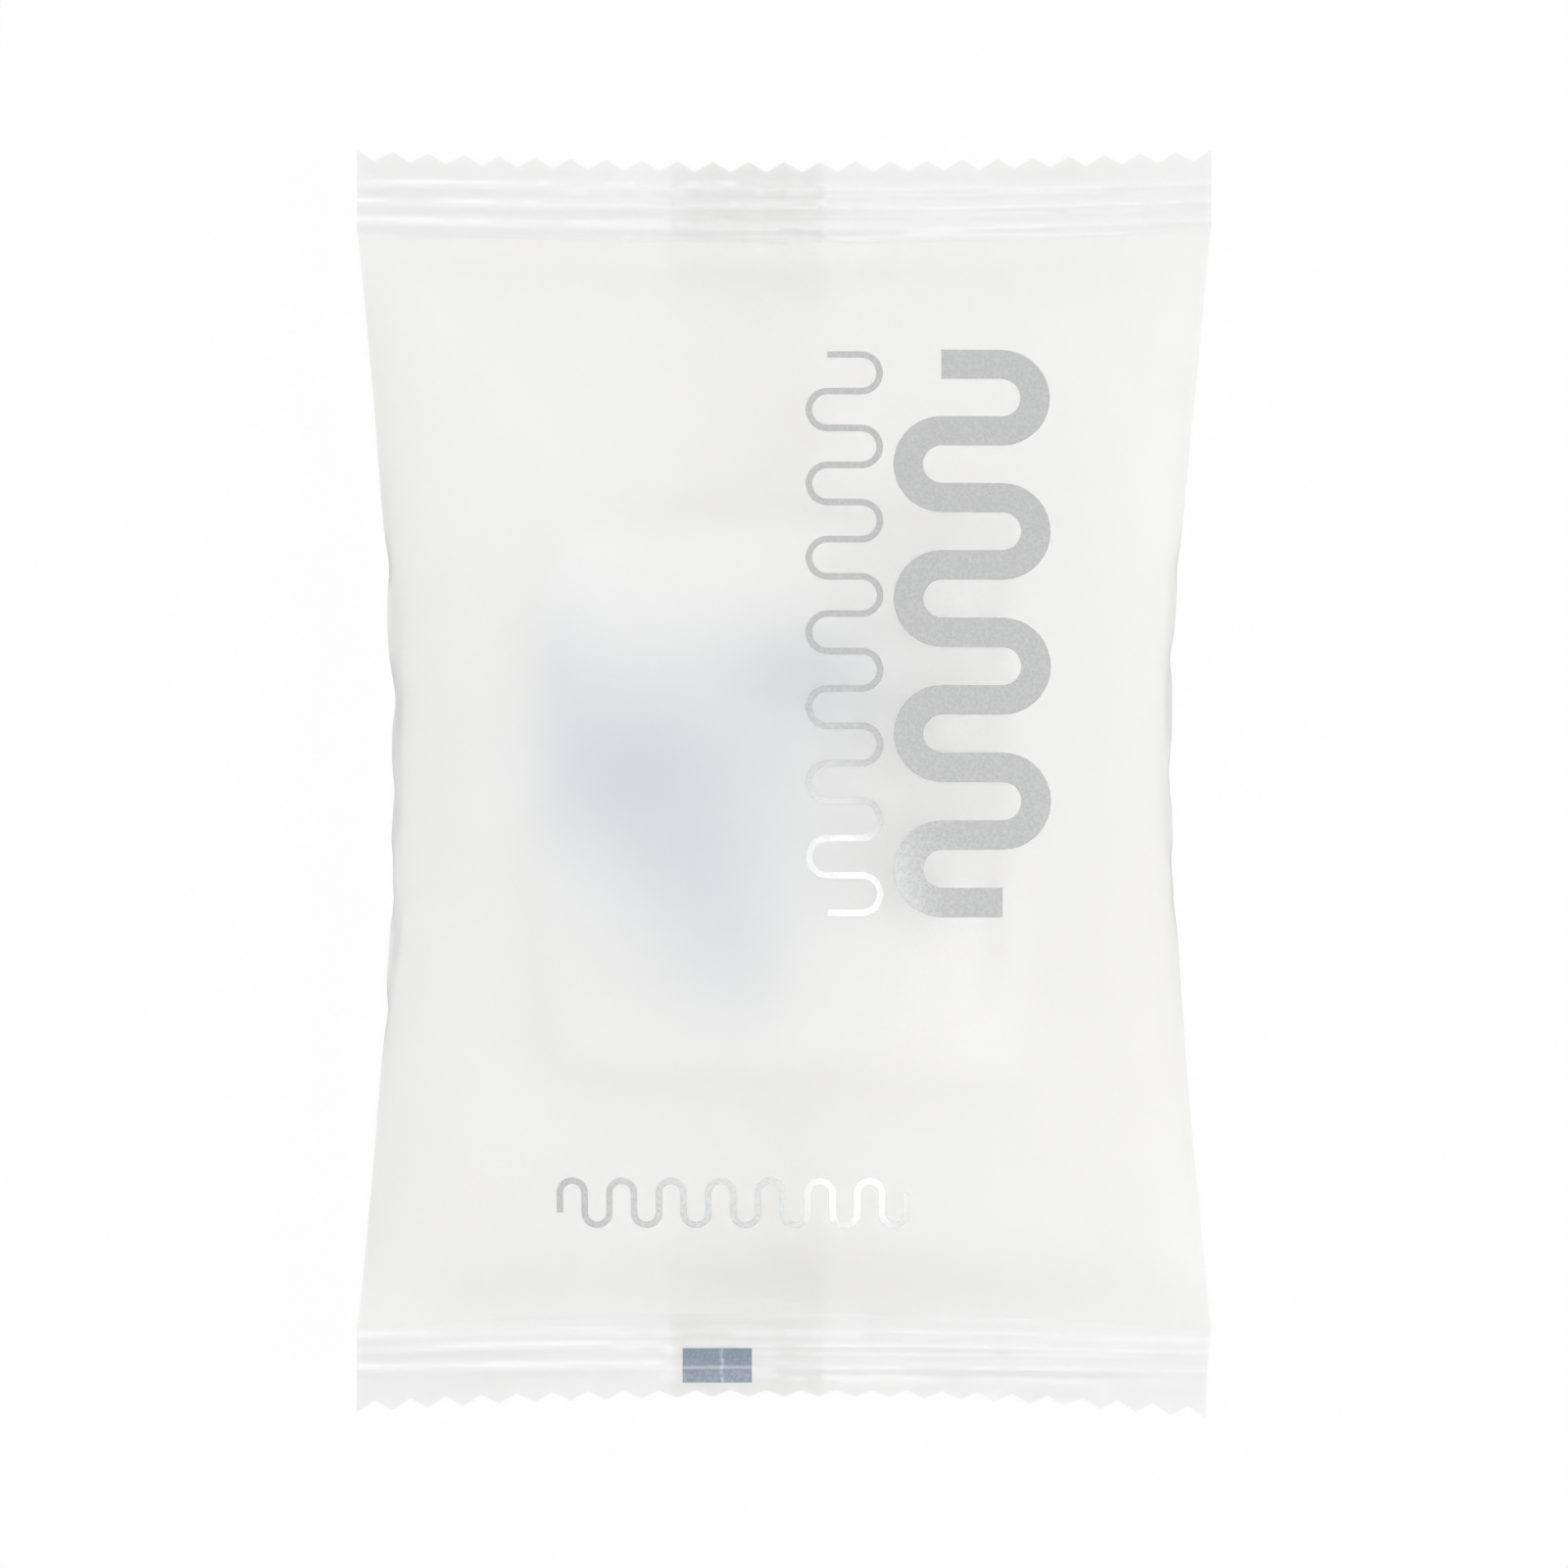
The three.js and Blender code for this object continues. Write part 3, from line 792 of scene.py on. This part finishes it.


# %% [markdown]
# ## Both bands
# Each point keeps how near it is to a crest, and the material mixes white in there: a painted highlight
# along the ridges. Under the band lies a second strip, the fin's plies, which shows as a darker
# stretch. The rim that meets the pillow is clear, so that no line shows at the weld.

# %% Make both ends
BAND_HALF = 0.09 * MM
CREST_WIDTH = 0.38 * MM
COLUMNS_PER_TOOTH = 8
FIN_COLUMNS = 35
BAND_FINISH, PLIES_FINISH, RIM_FINISH = 0, 1, 2


def crimped_end(name, lines, way):
    """The welded band, with the fin's plies as a second strip under it."""
    rows = [*np.linspace(0, 3.5, 43), *np.linspace(TEETH_FROM, 4, 8)]
    band_columns = np.linspace(-HALF_WIDTH, HALF_WIDTH, TEETH * COLUMNS_PER_TOOTH + 1)
    fin_columns = np.linspace(*sorted((FIN_FREE_X * way, FIN_ROOT_X * way)), FIN_COLUMNS)
    points, faces, finishes, crest_highlights = [], [], [], []
    for columns, middle, half, finish in (
        (band_columns, 0, BAND_HALF, BAND_FINISH),
        (fin_columns, -1.6 * BAND_HALF, 0.5 * BAND_HALF, PLIES_FINISH),
    ):
        start = len(points)
        for lift in (middle + half, middle - half):
            points += [band_point(lines, way, x * way, v, lift) for v in rows for x in columns]
            crest_highlights += [
                ridges_at(lines, way, x * way, place_on_lines(lines, x * way, v), CREST_WIDTH)
                for v in rows for x in columns
            ]
        strip = slab_faces(len(rows), len(columns))
        faces += [tuple(k + start for k in face) for face in strip]
        finishes += [RIM_FINISH if k < len(columns) - 1 else finish for k in range(len(strip))]
    band = make_piece(name, points, faces, crimped_film, sharp=True)
    band.data.materials.append(fin_plies)
    band.data.materials.append(weld_joint)
    band.data.polygons.foreach_set("material_index", finishes)
    # Painted highlight: how near each point is to a crest, read by the weld material to mix in white.
    paint_points(band, "painted_crest_highlight", np.clip(crest_highlights, 0, 1))
    return band


head_crimp = crimped_end("head_crimp", HEAD_LINES, 1)
tail_crimp = crimped_end("tail_crimp", TAIL_LINES, -1)
print("crimped bands", len(head_crimp.data.vertices), "points each")

# %% [markdown]
# ## Ink
# Ink is laid down in fine dots, so its colour and gloss change from dot to dot. The mark, the silver
# print and, on a coarser scale, the yarn of the elastic share this effect, so it is a node group too.

# %% Node group for printed ink
INK_COLOURS = ("Full Colour", "Thin Colour")
print_grain, given, result = new_group("print_grain", INK_COLOURS, ("Dot Scale",), ("Roughness",))
tree = print_grain
place = add_node(tree, "TexCoord")
dots = add_node(tree, "TexVoronoi")
wire(tree, (place, "Object", dots, "Vector"), (given, "Dot Scale", dots, "Scale"))
from_dot = dots.outputs["Distance"]
colour_and_shine(tree, given, result, INK_COLOURS, from_dot, from_dot)
print(print_grain.name, "has", len(tree.nodes), "nodes")


def ink_material(name, shader_values, full, thin, dot_scale, roughness):
    """A finish of dots between two colours, with a span of roughness."""
    return group_material(name, print_grain, shader_values, (full, thin), (dot_scale,), roughness)[0]


# %% [markdown]
# ## Register mark
# A small block of blue-grey ink on the tail end tells the packing machine where to cut. It is
# printed before the crimping, so it bends with the ridges: the mark is a patch of the same band surface,
# lifted by the thickness of the ink. A lighter ink colour is painted along the last ridge, along one crease
# and beyond that ridge: a painted highlight where the crimps catch the light.

# %% The mark
INK_TOP, INK_FOOT = 0.03 * MM, 0.01 * MM
CREST_HIGHLIGHT_REACH, CREASE_HIGHLIGHT_REACH = 0.13 * MM, 0.14 * MM
mark_low, mark_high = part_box("registration_mark")
MARK_CREASE_X = (mark_low.x + mark_high.x) / 2 + 0.4 * MM


def painted_highlight_at(x, y):
    """How much painted highlight the mark gets at a place, from 0 to 1."""
    from_crest = (y - line_at(TAIL_LINES[3], x)) / CREST_HIGHLIGHT_REACH
    from_crease = (x - MARK_CREASE_X) / CREASE_HIGHLIGHT_REACH
    unevenness = 0.5 + 0.9 * noise.noise((x * 3000, y * 3000, 2))
    lightening = 0.55 * math.exp(-from_crest**2) + 0.8 * unevenness * math.exp(-from_crease**2)
    lightening += 0.22 * unevenness * soft_step(from_crest / 4)
    return min(1, max(0, lightening))


mark_ink = ink_material(
    "mark_ink",
    {"Coat Weight": 0.3, "Coat Roughness": 0.15},
    full=(0.205, 0.26, 0.34), thin=(0.31, 0.36, 0.435),
    dot_scale=5000, roughness=(0.4, 0.55),
)
mark_columns = np.linspace(mark_high.x, mark_low.x, 61)
mark_rows = np.linspace(-mark_high.y, -mark_low.y, 41)
mark_points, mark_painted_highlight = [], []
for lift in (INK_TOP, INK_FOOT):
    for y in mark_rows:
        for x in mark_columns:
            v = float(np.interp(y, [line_at(line, x) for line in TAIL_LINES], range(5)))
            height = band_point(TAIL_LINES, -1, x, v, BAND_HALF + lift)[2]
            mark_points.append((x, -y, height))
            mark_painted_highlight.append(painted_highlight_at(x, y))
mark_faces = slab_faces(len(mark_rows), len(mark_columns))
eye_mark = make_piece("eye_mark", mark_points, mark_faces, mark_ink, sharp=True)
# Painted highlight: a lighter ink along the last ridge, along one crease and over the part beyond that
# ridge.
paint_points(eye_mark, "painted_mark_highlight", mark_painted_highlight)
tint_by_attribute(mark_ink, "painted_mark_highlight", "MIX", (0.72, 0.75, 0.79, 1))
print("mark", [round(side / MM, 1) for side in (mark_high - mark_low).xy], "mm")

# %% [markdown]
# ## Ends at their hinges
# The ends are hinges of the part, but film has no pin: it bends along a short stretch beside the weld.
# The length of that stretch is worked out for each end, but the bands and the mark are not bent:
# they only have their placement baked into their points.

# %% Bake the placement of the ends
HEAD_ROOT, TAIL_ROOT = HEAD_LINES[0][1] * MM, TAIL_LINES[0][1] * MM
HEAD_BEND = (HEAD_ROOT, HEAD_ROOT + 2.6 * MM)
TAIL_BEND = (-TAIL_ROOT, -TAIL_ROOT - 3.2 * MM)
for piece, end, bend in (
    (head_crimp, "head_end", HEAD_BEND),
    (tail_crimp, "tail_end", TAIL_BEND),
    (eye_mark, "tail_end", TAIL_BEND),
):
    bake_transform(piece)
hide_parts("head_seal")
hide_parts("tail_seal")
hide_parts("registration_mark")
print("the ends bend over", round((HEAD_BEND[1] - HEAD_BEND[0]) / MM, 1), "mm")

# %% [markdown]
# ## Silver print
# The front carries a plain ornament of three winding lines in silver ink: a bold one and a fine one
# side by side, and a small one near the tail. Each line is a ribbon laid on the swollen film: its
# centreline is drawn flat, and every point of its width is then dropped on to the pillow, so the ink
# follows each crease and mirrors the lamps as the film turns.

# %% Centreline of a winding line
def winding(start, along, across, half_span, pitch, turns):
    """Points of a line that runs to and fro across its way and turns back in half circles."""
    start, along, across = (np.array(v, float) for v in (start, along, across))
    radius = pitch / 2
    straight = half_span - radius
    path = []
    for k in range(turns):
        side = 1 if k % 2 == 0 else -1
        for part in np.linspace(-1, 1, 13)[:-1]:
            path.append(start + along * pitch * k + across * side * straight * part)
        if k < turns - 1:
            for angle in np.linspace(0, math.pi, 19)[:-1]:
                ahead = radius * (1 - math.cos(angle))
                out = straight + radius * math.sin(angle)
                path.append(start + along * (pitch * k + ahead) + across * side * out)
    path.append(start + along * pitch * (turns - 1) + across * (1 if turns % 2 else -1) * straight)
    return np.array(path)


# %% Lay the three lines on the film
RIBBON_POINTS = 5
silver_ink = ink_material(
    "silver_ink",
    {"Metallic": 1.0},
    full=(0.52, 0.525, 0.53), thin=(0.58, 0.58, 0.58),
    dot_scale=3500, roughness=(0.17, 0.27),
)


def silver_line(name, path, stroke):
    """A ribbon of ink along a path, dropped on to the front of the pillow."""
    ahead = np.gradient(path, axis=0)
    ahead /= np.linalg.norm(ahead, axis=1)[:, None]
    upper, lower = [], []
    for (x, y), (dx, dy) in zip(path, ahead):
        for out in np.linspace(0.5, -0.5, RIBBON_POINTS):
            place, normal = film_point(x - dy * stroke * out, y + dx * stroke * out, from_above=True)
            upper.append(place + normal * INK_TOP)
            lower.append(place + normal * INK_FOOT)
    faces = slab_faces(len(path), RIBBON_POINTS)
    ribbon = make_piece(name, upper + lower, faces, silver_ink, sharp=True)
    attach(ribbon, "pouch")
    return ribbon


bold = winding((15.9 * MM, 35.6 * MM), (0, -1), (1, 0), 5.4 * MM, 5.7 * MM, 9)
fine = winding((5.1 * MM, 36.4 * MM), (0, -1), (1, 0), 3.0 * MM, 3.15 * MM, 16)
small = winding((-19.0 * MM, -35.5 * MM), (1, 0), (0, 1), 1.9 * MM, 2.1 * MM, 15)
silver_lines = [
    silver_line("silver_bold_line", bold, 2.5 * MM),
    silver_line("silver_fine_line", fine, 0.55 * MM),
    silver_line("silver_small_line", small, 0.55 * MM),
]
print("silver lines", [len(line.data.vertices) for line in silver_lines], "points")

# %% [markdown]
# ## Folded cap
# Inside lies the cap: a gathered disc of pale film, folded flat and then to and fro like a letter, with its
# last flap on top. Only that flap comes close to the front film, so it shows as a blurred blue-grey
# patch. Each fold is a flattened tube of two skins, as the cap's own front and back are. The packet
# is domed by the film round it, and it leaves room to slide without touching the film.

# %% The fold's path
PLIES = 5
crown_low, crown_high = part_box("cap_crown")
CROWN_HEIGHT = crown_high.z - crown_low.z
PLY_PITCH = 2.0 * MM
PLY = CROWN_HEIGHT - (PLIES - 1) * PLY_PITCH
BEND = PLY_PITCH / 2
STRAIGHT = crown_high.x - BEND - PLY / 2
PERIOD = 2 * STRAIGHT + math.pi * BEND
STACK_TAPER = 0.02
LOWER_PLIES, FLAP_FROM, FLAP_STEP = 0.62, 0.72, 0.2
DOME_HEAD, DOME_TAIL, DOME_SIDE, DOME_REACH = 0.36, 0.25, 0.28, 12 * MM
FILM_GAP = 0.35 * MM
CAP_SLIDES = (*joints["cap_shift"]["range_m"], 0)


def dome_at(x, y):
    """The packet's height at a place, as a share of its height in the middle."""
    head = soft_step((y - 9 * MM) / DOME_REACH)
    tail = soft_step((-12 * MM - y) / DOME_REACH)
    side = soft_step((abs(x) - 9 * MM) / DOME_REACH)
    return 1 - DOME_HEAD * head - DOME_TAIL * tail - DOME_SIDE * side


def room_for_cap(x, y):
    """The lowest and highest place where the cap clears the film over its whole slide."""
    beds = [film_point(x, y + slide, from_above=False)[0].z for slide in CAP_SLIDES]
    roofs = [film_point(x, y + slide, from_above=True)[0].z for slide in CAP_SLIDES]
    return max(crown_low.z, max(beds) + FILM_GAP), min(roofs) - FILM_GAP


def fold_point(s, y, n):
    """A point of the folded cap: s along the folded path, y across it, n out of its middle."""
    ply = min(PLIES - 1, int(s / PERIOD))
    along = s - ply * PERIOD
    way = -1 if ply % 2 else 1
    angle = max(0, along - 2 * STRAIGHT) / BEND
    run = min(along, 2 * STRAIGHT) - STRAIGHT
    x = way * (run + BEND * math.sin(angle))
    z = crown_low.z + PLY / 2 + ply * PLY_PITCH + BEND * (1 - math.cos(angle))
    z += n * way * math.cos(angle)
    height = (z - crown_low.z) / CROWN_HEIGHT
    x = (x - n * math.sin(angle)) * (1 - STACK_TAPER * height)
    in_flap = soft_step((height - FLAP_FROM) / FLAP_STEP)
    pressed_height = height * (LOWER_PLIES + (1 - LOWER_PLIES) * in_flap)
    bed, roof = room_for_cap(x, y)
    return x, y, bed + pressed_height * min(CROWN_HEIGHT * dome_at(x, y), roof - bed)


print("one fold is", round(PERIOD / MM, 1), "mm of film")

# %% [markdown]
# ## Sheet and flap
# The sheet is drawn by stations along the folded path, with a tail and a head edge at each. The lower
# plies end at the hem. The last one, the flap, reaches over it and is cut back near its free end.

# %% Outline of the sheet along its path
elastic_low, elastic_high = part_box("elastic_band")
HEM_Y = (elastic_low.y + elastic_high.y) / 2
RUN_GAP = 2.14 * MM
HEM_HALF = 1.05 * MM
SHEET_HEAD = HEM_Y - RUN_GAP / 2 - HEM_HALF - 0.2 * MM
FLAP_HEAD = HEM_Y + 1.2 * MM
FLAP_OUTLINE = [(0, 46.4), (27, 46.4), (33, 44.4), (37, 38.4)]
TOP_START = (PLIES - 1) * PERIOD
stations = []
for ply in range(PLIES - 1):
    stations += [ply * PERIOD + part for part in np.linspace(0, 2 * STRAIGHT, 20)]
    stations += [ply * PERIOD + 2 * STRAIGHT + part for part in np.linspace(0, math.pi * BEND, 9)[1:-1]]
stations += [TOP_START + part for part in np.linspace(0, FLAP_OUTLINE[-1][0] * MM, 36)]


def sheet_edges(s):
    """Tail and head edge of the folded sheet at a place along its path."""
    flap = (s - TOP_START) / MM
    if flap < -math.pi * BEND / MM:
        return crown_low.y, SHEET_HEAD
    reach = np.interp(flap, [a for a, _ in FLAP_OUTLINE], [b for _, b in FLAP_OUTLINE])
    return FLAP_HEAD - reach * MM, FLAP_HEAD


print("the sheet has", len(stations), "stations")

# %% [markdown]
# ## Skins
# Light noise crumples the two skins, and the flap's free edges hang down a little. A real cap has many
# more layers: where they lie bunched, the film looks greyer and bluer, so each point keeps how many
# lie there and tints the material.

# %% Crumple the skins
SKIN = 0.42 * MM
CRUMPLE, SHIFT, DROOP = 0.26 * MM, 0.35 * MM, 1.1 * MM
END_REACH, TAIL_REACH, HEAD_REACH = 11 * MM, 12 * MM, 8 * MM
SECTION_POINTS = 19
LAYER_PLACES = [
    ((-13, 1), (10.5, 7.5), 1.0),
    ((1, 9), (6.5, 4.5), 0.9),
    ((-7.5, -7), (6.5, 7.5), 0.7),
    ((-4.5, -14), (4.5, 6), 0.5),
    ((-20.5, 9), (4.5, 7), 0.7),
    ((-10, 2), (16, 16), 0.3),
]


def layers_at(x, y):
    """How many layers of film lie bunched at a place, from 0 to 1."""
    layers = 0
    for (middle_x, middle_y), (reach_x, reach_y), depth in LAYER_PLACES:
        away = ((x / MM - middle_x) / reach_x) ** 2 + ((y / MM - middle_y) / reach_y) ** 2
        layers = 1 - (1 - layers) * (1 - depth * math.exp(-away))
    return layers


def section_of(low, high):
    """Places across the sheet: down the upper skin, round its tail edge, and up the lower skin."""
    turn = np.linspace(0, math.pi, 6)[1:-1]
    section = [(high + (low - high) * part, SKIN) for part in np.linspace(0, 1, SECTION_POINTS)]
    section += [(low - SKIN * math.sin(angle), SKIN * math.cos(angle)) for angle in turn]
    section += [(low + (high - low) * part, -SKIN) for part in np.linspace(0, 1, SECTION_POINTS)]
    return section


def droop_at(s, y, low, high):
    """How far the flap hangs down near its free edges."""
    if high != FLAP_HEAD:
        return 0
    to_end = soft_step((stations[-1] - s) / END_REACH)
    held = min(to_end, soft_step((y - low) / TAIL_REACH), soft_step((high - y) / HEAD_REACH))
    return DROOP * (1 - held)


cap_points, cap_stacked = [], []
for s in stations:
    low, high = sheet_edges(s)
    section = section_of(low, high)
    for y, n in section:
        skin = 1 if n > 0 else -1
        crumple = CRUMPLE * noise.noise((s * 210, y * 150, skin * 7))
        shift = SHIFT * noise.noise((s * 120, y * 120, skin * 3 + 20))
        folded = fold_point(s, y + shift, n + crumple - droop_at(s, y, low, high))
        cap_points.append(folded)
        cap_stacked.append(layers_at(folded[0], folded[1]))
print("cap film", len(cap_points), "points in", PLIES, "plies")

# %% Make the cap's film
cap_film = film_material(
    "cap_film",
    {"IOR": 1.35},
    clear=(0.96, 0.96, 0.957), cloudy=(0.94, 0.94, 0.938),
    cloud_scale=120, roughness=(0.3, 0.45), bump_strength=0.15,
)
tint_by_attribute(cap_film, "stacked", "MULTIPLY", (0.63, 0.665, 0.715, 1))
cap_faces = grid_faces(len(stations), len(section), closed=False)
folded_film = make_piece("folded_cap_film", cap_points, cap_faces, cap_film)
paint_points(folded_film, "stacked", cap_stacked)
thicken(folded_film, 0.05 * MM, 0)
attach(folded_film, "folded_cap")
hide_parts("cap_crown")
print("most layers", round(max(cap_stacked), 2), "of 1")

# %% [markdown]
# ## Hem and elastic
# The cap's edge is a tube of film gathered on a flat elastic. Flattened, the round edge becomes two runs
# side by side, which fold to and fro with the rest of the cap. The gathers are small waves that
# run across the tube; the elastic lies loose inside it.

# %% The loop of the hem
HEM_START = 2 * MM + RUN_GAP / 2
HEM_END = (PLIES - 2) * PERIOD + 2 * STRAIGHT - RUN_GAP / 2


def hem_places(step):
    """Places round the flattened loop: place along the fold, then the direction outwards in the sheet."""
    run = np.linspace(HEM_START, HEM_END, round((HEM_END - HEM_START) / step))
    turn = np.linspace(0, math.pi, max(6, round(math.pi * RUN_GAP / 2 / step)))[1:-1]
    places = [(s, 0, 1) for s in run]
    places += [(HEM_END, math.sin(a), math.cos(a)) for a in turn]
    places += [(s, 0, -1) for s in run[::-1]]
    places += [(HEM_START, -math.sin(a), -math.cos(a)) for a in turn]
    return places


def hem_point(place, q, n):
    """A point beside the loop: q outwards in the sheet, n out of it."""
    s, out_s, out_y = place
    reach = RUN_GAP / 2 + q
    return fold_point(s + reach * out_s, HEM_Y + reach * out_y, n)


def loop_piece(name, step, corners, section, material):
    """A tube round the loop. Its section gives q and n for a place's number and an angle."""
    loop = hem_places(step)
    points = []
    for i, place in enumerate(loop):
        for angle in np.linspace(0, 2 * math.pi, corners + 1)[:-1]:
            points.append(hem_point(place, *section(i, angle)))
    last = (len(loop) - 1) * corners
    closing = [(last + k, k, (k + 1) % corners, last + (k + 1) % corners) for k in range(corners)]
    print(name, "has", len(loop), "places round the loop")
    return make_piece(name, points, grid_faces(len(loop), corners, closed=True) + closing, material)


# %% Gathered tube
HEM_THICKNESS = 0.56 * MM
FRILL = 0.25 * MM
GATHER = 0.08 * MM


def hem_section(i, angle):
    """A flat oval with a frill on its outer side, gathered in waves."""
    wave = noise.noise((i * 0.32, 5, 1)) + 0.5 * math.sin(i * 1.05)
    frill = FRILL * (1 + wave) if math.cos(angle) > 0.2 else 0
    thickness = HEM_THICKNESS + GATHER * wave * math.cos(3 * angle)
    return HEM_HALF * math.cos(angle) + frill, thickness * math.sin(angle)


gathered_hem = loop_piece("gathered_hem", 0.6 * MM, 14, hem_section, cap_film)
thicken(gathered_hem, 0.1 * MM, 0)
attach(gathered_hem, "folded_cap")
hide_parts("cap_hem")

# %% Elastic
ELASTIC_HALF, ELASTIC_THICKNESS = 0.55 * MM, 0.2 * MM
ELASTIC_RIB = 0.12


def blunt(value):
    """A sine or cosine made flatter at its ends, which squares off a round section."""
    return math.copysign(abs(value) ** 0.5, value)


def elastic_section(i, angle):
    """A flat band with blunt edges and a rib at every other place."""
    rib = 1 + ELASTIC_RIB * (i % 2)
    return ELASTIC_HALF * blunt(math.cos(angle)), ELASTIC_THICKNESS * rib * blunt(math.sin(angle))


elastic_yarn = ink_material(
    "elastic_yarn",
    {"Sheen Weight": 0.3},
    full=(0.86, 0.86, 0.85), thin=(0.74, 0.74, 0.73),
    dot_scale=2500, roughness=(0.7, 0.95),
)
elastic = loop_piece("elastic_loop", 1.2 * MM, 10, elastic_section, elastic_yarn)
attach(elastic, "folded_cap")
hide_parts("elastic_band")

# %% [markdown]
# ## Sheets and sizes
# The film and the cap are sheets, so their flat sizes are worked out and printed.

WEB = (172 * MM, 108.4 * MM)
CAP_SHEET = (TOP_START + FLAP_OUTLINE[-1][0] * MM, 2 * (crown_high.y - crown_low.y))
for label, sheet in (("web", WEB), ("cap sheet", CAP_SHEET)):
    print(label, [round(side / MM, 1) for side in sheet], "mm")
